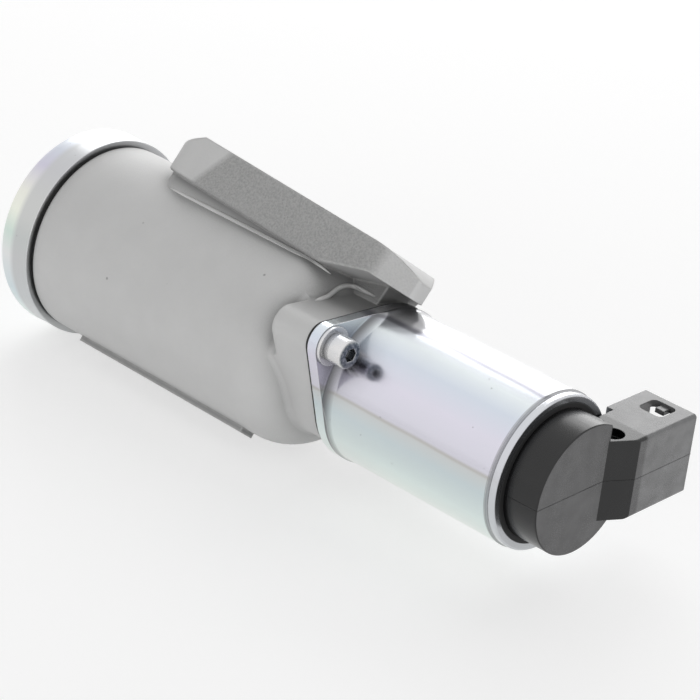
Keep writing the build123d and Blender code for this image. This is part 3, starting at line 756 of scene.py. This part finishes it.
@dataclass(frozen=True)
class MouldedFinish(Finish):
    """Black plastic: glossy round side, flat end face lightened as painted light, greyer fine texture with
    painted sheen on the plug housing.
    """

    # Painted light: the flat end face is much lighter than the round side of the same plastic
    face_painted_light_colour: Colour = (0.092, 0.092, 0.094)
    face_facing: Fade = Fade(0.90, 0.98)
    # Greyer plug housing: its fine texture, with painted sheen
    plug_texture_and_sheen_colour: Colour = (0.19, 0.191, 0.194)
    plug_reach: Fade = Fade(AXIS_Y + 15.4 * MM, AXIS_Y + 16.2 * MM)
    streaks_per_m: float = 260.0
    streak_fade: Fade = Fade(0.35, 0.7)
    streak_low: Colour = (0.8, 0.8, 0.8)
    streak_high: Colour = (1.15, 1.15, 1.15)

    def surface(self, kit: NodeKit, effects: SharedEffects, grain: Node) -> Socket:
        """Colour, lighter on the flat end face as painted light and greyer on the plug housing, for its
        texture and as painted sheen.

        Args:
            kit: Helper of the material's tree.
            effects: The shared shader groups.
            grain: The placed grain group.

        Returns:
            Socket with the colour.
        """
        place = kit.place()
        plug = kit.spread(kit.along(place, PLUG_WAY), self.plug_reach)
        # Painted light on the flat end face
        face = kit.spread(kit.facing(AXIS), self.face_facing)
        disc = kit.mix(face, super().surface(kit, effects, grain), self.face_painted_light_colour)
        streaks = kit.spread(kit.noise(place, self.streaks_per_m, detail=5.0), self.streak_fade)
        worn = kit.mix(streaks, self.streak_low, self.streak_high)
        return kit.mix(1.0, kit.mix(plug, disc, self.plug_texture_and_sheen_colour), worn, blend="MULTIPLY")


CAST_ALUMINIUM = CastFinish(
    "cast_aluminium", (0.68, 0.68, 0.677), 0.1, 0.48, 0.6, Texture.EVEN, (0.65, 0.65, 0.647),
    (0.80, 0.80, 0.79), edge_share=0.6, edge_round=0.0009, grains_per_m=2600.0, swells_per_m=130.0,
    grain_depth=0.00005, hollow_shade_share=0.45, hollow_shade_reach=0.004,
)
# Painted highlight: the neck ridge is lighter, with little painted shade, for the light it catches
CASTING_PAINTED_HIGHLIGHT = replace(
    CAST_ALUMINIUM, name="casting_painted_highlight", colour=(0.82, 0.82, 0.815), shade=(0.76, 0.76, 0.755),
    shelter_shade_fade=Fade(0.97, 0.60, 0.0, 0.15), hollow_shade_share=0.1, rough_low=0.36, rough_high=0.48,
)
CAN_ZINC = PlatedFinish(
    "can_zinc", (0.72, 0.74, 0.78), 1.0, 0.16, 0.23, Texture.DRAWN, (0.62, 0.63, 0.66), (0.90, 0.91, 0.92),
    grains_per_m=1400.0, swells_per_m=60.0, swell=1.0, grain_depth=0.000006, hollow_shade_share=0.9,
    hollow_shade_reach=0.010, lip_from=84.8 * MM, flare_from=36.2 * MM,
    # Passivation tints by height on the round, with painted reflections, the dark lines near -0.066 and from
    # 0.902 to 0.920, and painted highlights, the pale bands beside that line and at the crown
    bands=(
        (-1.0, (0.86, 0.92, 0.86)), (-0.62, (0.77, 0.86, 0.84)), (-0.27, (0.61, 0.69, 0.71)),
        (-0.10, (0.60, 0.62, 0.62)), (-0.066, (0.50, 0.49, 0.47)), (-0.03, (0.66, 0.65, 0.72)),
        (0.34, (0.71, 0.69, 0.78)), (0.62, (0.64, 0.69, 0.77)), (0.80, (0.78, 0.83, 0.85)),
        (0.885, (0.72, 0.75, 0.80)), (0.902, (0.28, 0.28, 0.315)), (0.920, (0.28, 0.28, 0.315)),
        (0.945, (0.84, 0.84, 0.86)),
    ),
)
CAP_ZINC = PlatedFinish(
    "cap_zinc", (0.70, 0.71, 0.72), 1.0, 0.27, 0.38, Texture.TURNED, (0.62, 0.62, 0.63), (0.90, 0.91, 0.92),
    grains_per_m=1400.0, swells_per_m=80.0, swell=1.0, grain_depth=0.000008, edge_round=0.0005,
    hollow_shade_share=0.5,
    bands=(
        (-1.0, (0.78, 0.84, 0.80)), (-0.6, (0.63, 0.71, 0.74)), (-0.3, (0.76, 0.77, 0.77)),
        (-0.07, (0.64, 0.75, 0.69)), (0.15, (0.82, 0.84, 0.75)), (0.35, (0.78, 0.78, 0.72)),
        (0.6, (0.58, 0.56, 0.66)), (0.8, (0.58, 0.61, 0.68)), (0.95, (0.74, 0.77, 0.80)),
    ),
    round_radius=26.2 * MM, sway=0.2, sways_per_m=45.0, neutral_from=-69.0 * MM,
)
SCREW_ZINC = ScrewFinish(
    "screw_zinc", (0.70, 0.71, 0.72), 1.0, 0.2, 0.32, Texture.EVEN, (0.58, 0.60, 0.62), (0.92, 0.92, 0.93),
    grains_per_m=2500.0, swells_per_m=400.0, grain_depth=0.000015, edge_round=0.00025, hollow_shade_share=0.9,
    hollow_shade_reach=0.003,
    bands=((-1.0, (0.62, 0.65, 0.68)), (0.2, (0.74, 0.73, 0.73)), (1.0, (0.58, 0.62, 0.69))),
    round_radius=30.0 * MM, sway=1.4, sways_per_m=180.0,
)
BLACK_PLASTIC = MouldedFinish(
    "black_plastic", (0.006, 0.0062, 0.0066), 0.0, 0.2, 0.32, Texture.EVEN, (0.004, 0.0041, 0.0044),
    (0.006, 0.006, 0.007), edge_share=0.75, grains_per_m=4200.0, swells_per_m=90.0, swell=0.8,
    grain_depth=0.000012, hollow_shade_share=0.6, hollow_shade_reach=0.004,
)
BLACK_RUBBER = Finish(
    "black_rubber", (0.016, 0.016, 0.017), 0.0, 0.6, 0.75, Texture.EVEN, (0.012, 0.012, 0.012),
    (0.03, 0.03, 0.03),
)
BARE_STEEL = Finish(
    "ground_steel", (0.60, 0.61, 0.63), 1.0, 0.22, 0.34, Texture.TURNED, (0.52, 0.53, 0.55),
    (0.72, 0.73, 0.74), grains_per_m=4000.0, grain_depth=0.00001,
)
MAGNET_IRON = Finish(
    "magnet_iron", (0.47, 0.48, 0.50), 1.0, 0.32, 0.45, Texture.TURNED, (0.40, 0.41, 0.43),
    (0.60, 0.61, 0.62), grains_per_m=3500.0,
)
TURNED_ALUMINIUM = Finish(
    "turned_aluminium", (0.78, 0.79, 0.80), 1.0, 0.26, 0.38, Texture.TURNED, (0.70, 0.71, 0.72),
    (0.86, 0.87, 0.87), grains_per_m=4500.0,
)
SINTERED_BRONZE = Finish(
    "sintered_bronze", (0.55, 0.38, 0.20), 1.0, 0.42, 0.55, Texture.EVEN, (0.42, 0.28, 0.15),
    (0.66, 0.48, 0.28), grains_per_m=6000.0, grain_depth=0.00004,
)
NATURAL_NYLON = Finish(
    "natural_nylon", (0.70, 0.67, 0.58), 0.0, 0.42, 0.55, Texture.EVEN, (0.64, 0.60, 0.50),
    (0.74, 0.71, 0.63),
)
COPPER_WIRE = Finish(
    "enamelled_copper", (0.62, 0.26, 0.12), 1.0, 0.28, 0.4, Texture.DRAWN, (0.48, 0.18, 0.08),
    (0.74, 0.36, 0.18), grains_per_m=2500.0, grain_depth=0.00005,
)
TINNED_BRASS = Finish(
    "tinned_brass", (0.76, 0.74, 0.68), 1.0, 0.22, 0.34, Texture.DRAWN, (0.66, 0.64, 0.56),
    (0.86, 0.85, 0.80), grain_depth=0.00001,
)


class Dresser:
    """Gives pieces their finishes and tells what they wear."""

    def __init__(self, effects: SharedEffects) -> None:
        """Keeps the shared groups.

        Args:
            effects: The shared shader groups.
        """
        self.effects = effects
        self.made: dict[str, bpy.types.Material] = {}

    def material(self, finish: Finish) -> bpy.types.Material:
        """Returns the finish's material, made once."""
        if finish.name not in self.made:
            self.made[finish.name] = finish.build(self.effects)
        return self.made[finish.name]

    def dress(self, piece: bpy.types.Object, finish: Finish) -> None:
        """Puts a finish on every slot of a piece.

        Args:
            piece: The object to dress.
            finish: Its finish.
        """
        if not piece.material_slots:
            piece.data.materials.append(None)
        for slot in piece.material_slots:
            slot.material = self.material(finish)
        log.info("%s wears %s", piece.name, finish.name)

    def nodes(self, finish: Finish, names: Iterable[str]) -> None:
        """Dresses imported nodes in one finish."""
        for name in names:
            self.dress(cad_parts[name], finish)


def linked(name: str, data: bpy.types.ID) -> bpy.types.Object:
    """Puts a new object in the scene.

    Args:
        name: Name of the object.
        data: Its mesh, curve, light or camera.

    Returns:
        The object.
    """
    made = bpy.data.objects.new(name, data)
    bpy.context.scene.collection.objects.link(made)
    return made


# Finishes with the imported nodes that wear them, and new pieces with their finishes
Wears = tuple[tuple[Finish, tuple[str, ...]], ...]
Extras = Iterable[tuple[bpy.types.Object, Finish]]


@dataclass
class SubAssembly:
    """A group of pieces that belong together on the valve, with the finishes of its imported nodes."""

    wears: Wears = ()

    def extras(self) -> Extras:
        """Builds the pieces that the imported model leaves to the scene, each with its finish."""
        return ()

    def build(self, dresser: Dresser) -> None:
        """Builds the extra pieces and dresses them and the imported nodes.

        Args:
            dresser: Gives the finishes.
        """
        for extra, finish in self.extras():
            dresser.dress(extra, finish)
        for finish, names in self.wears:
            dresser.nodes(finish, names)

    @staticmethod
    def piece(
        name: str, shape: bmesh.types.BMesh, body: str, slot: str, smooth: bool = True
    ) -> bpy.types.Object:
        """Turns a finished shape into a piece that rides on a body.

        Args:
            name: Name of the piece.
            shape: The mesh, in place in the frame; it is freed.
            body: Body that carries the piece.
            slot: Material slot of the record; not used.
            smooth: Whether its faces are shaded smooth.

        Returns:
            The new object.
        """
        bmesh.ops.remove_doubles(shape, verts=shape.verts, dist=MERGE_GAP)
        bmesh.ops.recalc_face_normals(shape, faces=shape.faces)
        for face in shape.faces:
            face.smooth = smooth
        mesh = bpy.data.meshes.new(name)
        shape.to_mesh(mesh)
        shape.free()
        made = linked(name, mesh)
        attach(made, body)
        log.info("%s built, %d faces", name, len(mesh.polygons))
        return made


def wound_wire(
    start: Vector, outward: Vector, axis: Vector, centre: Vector, wire_r: float,
    windings: Iterable[tuple[float, float]], sides: int = 10, steps: int = 36,
) -> bmesh.types.BMesh:
    """Winds a round wire about an axis.

    Args:
        start: Centre of the wire where it begins.
        outward: Direction from the axis to that start.
        axis: Direction of the winding axis.
        centre: A point on the axis.
        wire_r: Radius of the wire.
        windings: Turns and rise per turn of each stretch, in order.
        sides: Sides of the wire's section.
        steps: Steps per turn.

    Returns:
        The wound wire with closed ends.
    """
    shape = bmesh.new()
    across = axis.cross(outward).normalized()
    turn = Matrix((outward.normalized(), axis.normalized(), across)).transposed().to_4x4()
    section = Matrix.Translation(start) @ turn
    bmesh.ops.create_circle(shape, cap_ends=True, segments=sides, radius=wire_r, matrix=section)
    ring = list(shape.verts) + list(shape.edges)
    for turns, rise in windings:
        count = max(1, round(turns * steps))
        wound = bmesh.ops.spin(
            shape, geom=ring, cent=centre, axis=axis, dvec=axis * (rise * turns / count),
            angle=math.tau * turns, steps=count,
        )
        ring = wound["geom_last"]
    last = [item for item in ring if isinstance(item, bmesh.types.BMEdge)]
    bmesh.ops.contextual_create(shape, geom=last)
    return shape


@dataclass
class CastBody(SubAssembly):
    """The die-cast housing with its cap, seals, threads and cast beads, whose paths are in millimetres."""

    wears: Wears = (
        (CAST_ALUMINIUM, ("valve_housing",)),
        (BLACK_RUBBER, ("end_seal", "flange_gasket")),
        (CAP_ZINC, ("end_cap",)),
    )
    bolt_reach: float = 28.5 * MM
    bolt_angle: float = math.radians(-14.0)
    hole_r: float = 2.5 * MM
    thread_from: float = 0.6 * MM
    thread_length: float = 6.0 * MM
    thread_pitch: float = 1.0 * MM
    thread_r: float = 0.28 * MM
    ridge: tuple[Point, ...] = (
        (-36.6, -21.1, -0.35), (-33.0, -21.5, -0.25), (-14.0, -21.6, -0.28), (7.0, -21.8, -0.38),
        (12.5, -21.8, -0.5), (16.2, -21.0, -1.3), (18.6, -19.9, -2.6),
    )
    arch: tuple[Point, ...] = (
        (22.4, -28.6, -5.7), (22.5, -27.4, -5.55), (22.6, -24.7, -5.8), (21.4, -21.2, -5.45),
        (21.2, -18.7, -4.95), (21.5, -16.1, -5.25), (22.8, -15.0, -5.6), (25.1, -14.95, -5.65),
        (28.8, -14.95, -5.65),
    )
    ridge_r: float = 0.55 * MM
    arch_r: float = 0.6 * MM
    bead_taper: float = 0.25

    def bead(self, name: str, points: tuple[Point, ...], radius: float) -> bpy.types.Object:
        """Lays a tapering bead along a path on the casting.

        Args:
            name: Name of the piece.
            points: The path in millimetres.
            radius: Radius of the bead.

        Returns:
            The bead.
        """
        curve = bpy.data.curves.new(name, "CURVE")
        curve.dimensions = "3D"
        curve.bevel_depth = radius
        curve.bevel_resolution = 4
        curve.resolution_u = 8
        curve.use_fill_caps = True
        spline = curve.splines.new("NURBS")
        spline.points.add(len(points) - 1)
        for point, place in zip(spline.points, points):
            point.co = (*(Vector(place) * MM), 1.0)
        for end in (0, -1):
            spline.points[end].radius = self.bead_taper
        spline.order_u = 4
        spline.use_endpoint_u = True
        path = linked(name, curve)
        laid = bpy.data.meshes.new_from_object(path.evaluated_get(bpy.context.evaluated_depsgraph_get()))
        bpy.data.objects.remove(path)
        bpy.data.curves.remove(curve)
        shape = bmesh.new()
        shape.from_mesh(laid)
        bpy.data.meshes.remove(laid)
        return self.piece(name, shape, HOUSING, "cast_body")

    def thread(self, name: str, angle: float) -> bpy.types.Object:
        """Cuts the look of a thread into a mounting hole with a wound ridge.

        Args:
            name: Name of the piece.
            angle: Where the hole lies on the bolt circle.

        Returns:
            The ridge.
        """
        centre = (FACE_ALONG * math.cos(angle) + FACE_ACROSS * math.sin(angle)) * self.bolt_reach
        start = centre + FACE_ALONG * self.hole_r - FACE_NORMAL * self.thread_from
        winding = (self.thread_length / self.thread_pitch, self.thread_pitch)
        shape = wound_wire(
            start, FACE_ALONG, -FACE_NORMAL, centre, self.thread_r, [winding], sides=4, steps=24
        )
        return self.piece(name, shape, HOUSING, "cast_body", smooth=False)

    def extras(self) -> Extras:
        """Builds the threads and the beads."""
        yield self.thread("mount_thread_near", self.bolt_angle), TURNED_ALUMINIUM
        yield self.thread("mount_thread_far", self.bolt_angle + math.pi), TURNED_ALUMINIUM
        # The neck ridge wears a painted highlight
        yield self.bead("neck_ridge", self.ridge, self.ridge_r), CASTING_PAINTED_HIGHLIGHT
        yield self.bead("shoulder_arch", self.arch, self.arch_r), CAST_ALUMINIUM


@dataclass
class Solenoid(SubAssembly):
    """Can, magnet circuit and coil."""

    wears: Wears = (
        (CAN_ZINC, ("solenoid_can",)),
        (MAGNET_IRON, ("pole_core", "armature", "yoke_plate")),
        (BARE_STEEL, ("guide_sleeve",)),
        (SINTERED_BRONZE, ("front_bush", "rear_bush", "stop_washer")),
        (NATURAL_NYLON, ("coil_bobbin",)),
        (COPPER_WIRE, ("coil_winding",)),
    )


@dataclass
class FlangeScrews(SubAssembly):
    """The two flange screws with their washers."""

    wears: Wears = (
        (SCREW_ZINC, ("screw_upper", "washer_upper", "lock_washer_upper")),
        (SCREW_ZINC, ("screw_lower", "washer_lower", "lock_washer_lower")),
    )


@dataclass
class Connector(SubAssembly):
    """Black cap with the plug housing, its seal, its terminals and the seam of its mould."""

    wears: Wears = (
        (BLACK_PLASTIC, ("connector_cap",)),
        (BLACK_RUBBER, ("cap_seal",)),
        (TINNED_BRASS, ("terminal_upper", "terminal_lower")),
    )
    seam_width: float = 0.16 * MM
    seam_proud: float = 0.05 * MM
    rim_gap: float = 0.2 * MM

    def seam(self) -> bpy.types.Object:
        """Raises the thin seam that the mould halves leave round the cap.

        Returns:
            The seam, a thin band on the outside of the cap.
        """
        shape = bmesh.new()
        shape.from_mesh(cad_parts["connector_cap"].data)
        bmesh.ops.remove_doubles(shape, verts=shape.verts, dist=MERGE_GAP)
        for side in (-1.0, 1.0):
            bmesh.ops.bisect_plane(
                shape, geom=[*shape.verts, *shape.edges, *shape.faces], dist=ON_PLANE,
                plane_co=(0.0, 0.0, AXIS_Z + side * self.seam_width / 2), plane_no=(0.0, 0.0, side),
                clear_outer=True,
            )
        bmesh.ops.remove_doubles(shape, verts=shape.verts, dist=MERGE_GAP)
        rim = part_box("solenoid_can")[1].x
        covered = [face for face in shape.faces if face.calc_center_median().x < rim + self.rim_gap]
        bmesh.ops.delete(shape, geom=covered, context="FACES")
        bmesh.ops.solidify(shape, geom=list(shape.faces), thickness=-self.seam_proud)
        return self.piece("mould_seam", shape, HOUSING, "connector_plastic", smooth=False)

    def extras(self) -> Extras:
        """Builds the seam."""
        yield self.seam(), BLACK_PLASTIC


@dataclass
class ValveGear(SubAssembly):
    """Stem, disc, seat and the return spring."""

    wears: Wears = (
        (BARE_STEEL, ("valve_stem", "disc_clip", "return_spring", "spring_carrier")),
        (TURNED_ALUMINIUM, ("valve_disc", "seat_ring")),
        (BLACK_RUBBER, ("disc_face",)),
    )
    wire_r: float = 0.6 * MM
    end_turns: float = 1.0
    open_turns: float = 4.2
    travel: float = 3.2 * MM

    def spring(self) -> bpy.types.Object:
        """Winds the return spring from round wire, with closed end turns.

        Returns:
            The spring; the real one flattens as the valve opens.
        """
        low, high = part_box("return_spring")
        coil_r = (high.y - low.y) / 2 - self.wire_r
        first = low.x + self.wire_r
        length = high.x - low.x - 2 * self.wire_r
        closed = 2 * self.wire_r
        rise = (length - 2 * self.end_turns * closed) / self.open_turns
        shape = wound_wire(
            Vector((first, AXIS_Y + coil_r, AXIS_Z)), PLUG_WAY, AXIS, Vector((first, AXIS_Y, AXIS_Z)),
            self.wire_r, [(self.end_turns, closed), (self.open_turns, rise), (self.end_turns, closed)],
        )
        coil = self.piece("wound_spring", shape, HOUSING, "machined_steel")
        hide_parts("return_spring")
        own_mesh(coil)
        return coil

    def extras(self) -> Extras:
        """Winds the spring."""
        yield self.spring(), BARE_STEEL


@dataclass(frozen=True)
class Lamp:
    """A square soft lamp that faces the object from a direction, with its power in watts.

    Shiny surfaces show it only if it is mirrored.
    """

    name: str
    direction: Point
    distance: float
    size: float
    power: float
    mirrored: bool = False

    def hang(self) -> None:
        """Hangs the lamp in the scene."""
        data = bpy.data.lights.new(self.name, "AREA")
        data.shape = "SQUARE"
        data.size = self.size
        data.energy = self.power
        lamp = linked(self.name, data)
        place = Vector(self.direction).normalized() * self.distance
        aim = (-place).to_track_quat("-Z", "Y").to_matrix().to_4x4()
        lamp.matrix_world = Matrix.Translation(place) @ aim
        lamp.visible_glossy = self.mirrored


@dataclass
class Studio:
    """Floor, lights, world and camera. The camera's place and aim are in millimetres."""

    camera_place: Point = (366.4, -399.6, 230.6)
    camera_aim: Point = (7.3, 2.2, -33.2)
    camera_roll: float = math.radians(6.2)
    lens_mm: float = 125.7
    sensor_mm: float = 36.0
    near_clip: float = 0.01
    world_level: float = 0.29
    floor_reach: float = 3.0
    floor_gap: float = 0.3 * MM
    floor_colour: Colour = (0.95, 0.95, 0.95)
    floor_seen: Colour = (0.5, 0.5, 0.5)
    floor_glow: float = 0.59
    floor_roughness: float = 0.9
    floor_specular: float = 0.1
    lamps: tuple[Lamp, ...] = (
        Lamp("back_softbox", (-0.60, 0.70, 0.38), 1.4, 1.1, 8.4, mirrored=True),
        Lamp("top_softbox", (-0.2, 0.5, 0.84), 1.3, 1.2, 4.0),
        Lamp("front_softbox", (0.3, -0.9, 0.05), 1.5, 1.2, 11.0),
        Lamp("plug_softbox", (0.95, 0.1, 0.3), 1.2, 0.9, 2.6),
    )

    def camera(self) -> None:
        """Places the camera where the photograph was taken."""
        data = bpy.data.cameras.new("photo_camera")
        data.lens = self.lens_mm
        data.sensor_width = self.sensor_mm
        data.clip_start = self.near_clip
        camera = linked("photo_camera", data)
        place, aim = Vector(self.camera_place) * MM, Vector(self.camera_aim) * MM
        view = (aim - place).to_track_quat("-Z", "Y").to_matrix().to_4x4()
        roll = Matrix.Rotation(self.camera_roll, 4, "Z")
        camera.matrix_world = Matrix.Translation(place) @ view @ roll
        bpy.context.scene.camera = camera

    @staticmethod
    def seen(kit: NodeKit) -> Socket:
        """Mask of the rays that show things: from the camera, a shiny surface or a clear one.

        Args:
            kit: Helper of the tree that needs the mask.

        Returns:
            The mask.
        """
        path = kit.add("ShaderNodeLightPath")
        direct = kit.math("MAXIMUM", path.outputs["Is Camera Ray"], path.outputs["Is Glossy Ray"])
        return kit.math("MAXIMUM", direct, path.outputs["Is Transmission Ray"])

    def world(self) -> None:
        """Fills the world with plain pale light; camera, glossy and transmitted rays see it white."""
        world = bpy.data.worlds.new("pale_studio")
        world.use_nodes = True
        kit = NodeKit(world.node_tree)
        light = world.node_tree.nodes["Background"]
        light.inputs["Color"].default_value = WHITE
        kit.join(kit.spread(self.seen(kit), Fade(0.0, 1.0, self.world_level, 1.0)), light.inputs["Strength"])
        bpy.context.scene.world = world

    def floor(self) -> None:
        """Lays the pale floor under the lowest point of the part."""
        shape = bmesh.new()
        bmesh.ops.create_grid(shape, x_segments=1, y_segments=1, size=self.floor_reach)
        bmesh.ops.translate(shape, verts=shape.verts, vec=(0.0, 0.0, CAD_BOX[0][2] - self.floor_gap))
        mesh = bpy.data.meshes.new("floor")
        shape.to_mesh(mesh)
        shape.free()
        floor = linked("floor", mesh)
        material = bpy.data.materials.new("pale_floor")
        material.use_nodes = True
        kit = NodeKit(material.node_tree)
        shader = material.node_tree.nodes["Principled BSDF"]
        seen = self.seen(kit)
        kit.join(kit.mix(seen, self.floor_colour, self.floor_seen), shader.inputs["Base Color"])
        shader.inputs["Emission Color"].default_value = WHITE
        glow = kit.spread(seen, Fade(0.0, 1.0, 0.0, self.floor_glow))
        kit.join(glow, shader.inputs["Emission Strength"])
        shader.inputs["Roughness"].default_value = self.floor_roughness
        shader.inputs["Specular IOR Level"].default_value = self.floor_specular
        mesh.materials.append(material)

    def build(self) -> None:
        """Sets up the whole studio."""
        self.camera()
        self.world()
        self.floor()
        for lamp in self.lamps:
            lamp.hang()


def main() -> None:
    """Builds the studio and every sub-assembly of the valve."""
    logging.basicConfig(level=logging.INFO, format="%(name)s: %(message)s")
    bpy.context.scene.view_settings.view_transform = "Standard"
    Studio().build()
    dresser = Dresser(SharedEffects())
    for assembly in (CastBody(), Solenoid(), FlangeScrews(), Connector(), ValveGear()):
        assembly.build(dresser)


if __name__ == "__main__":
    main()
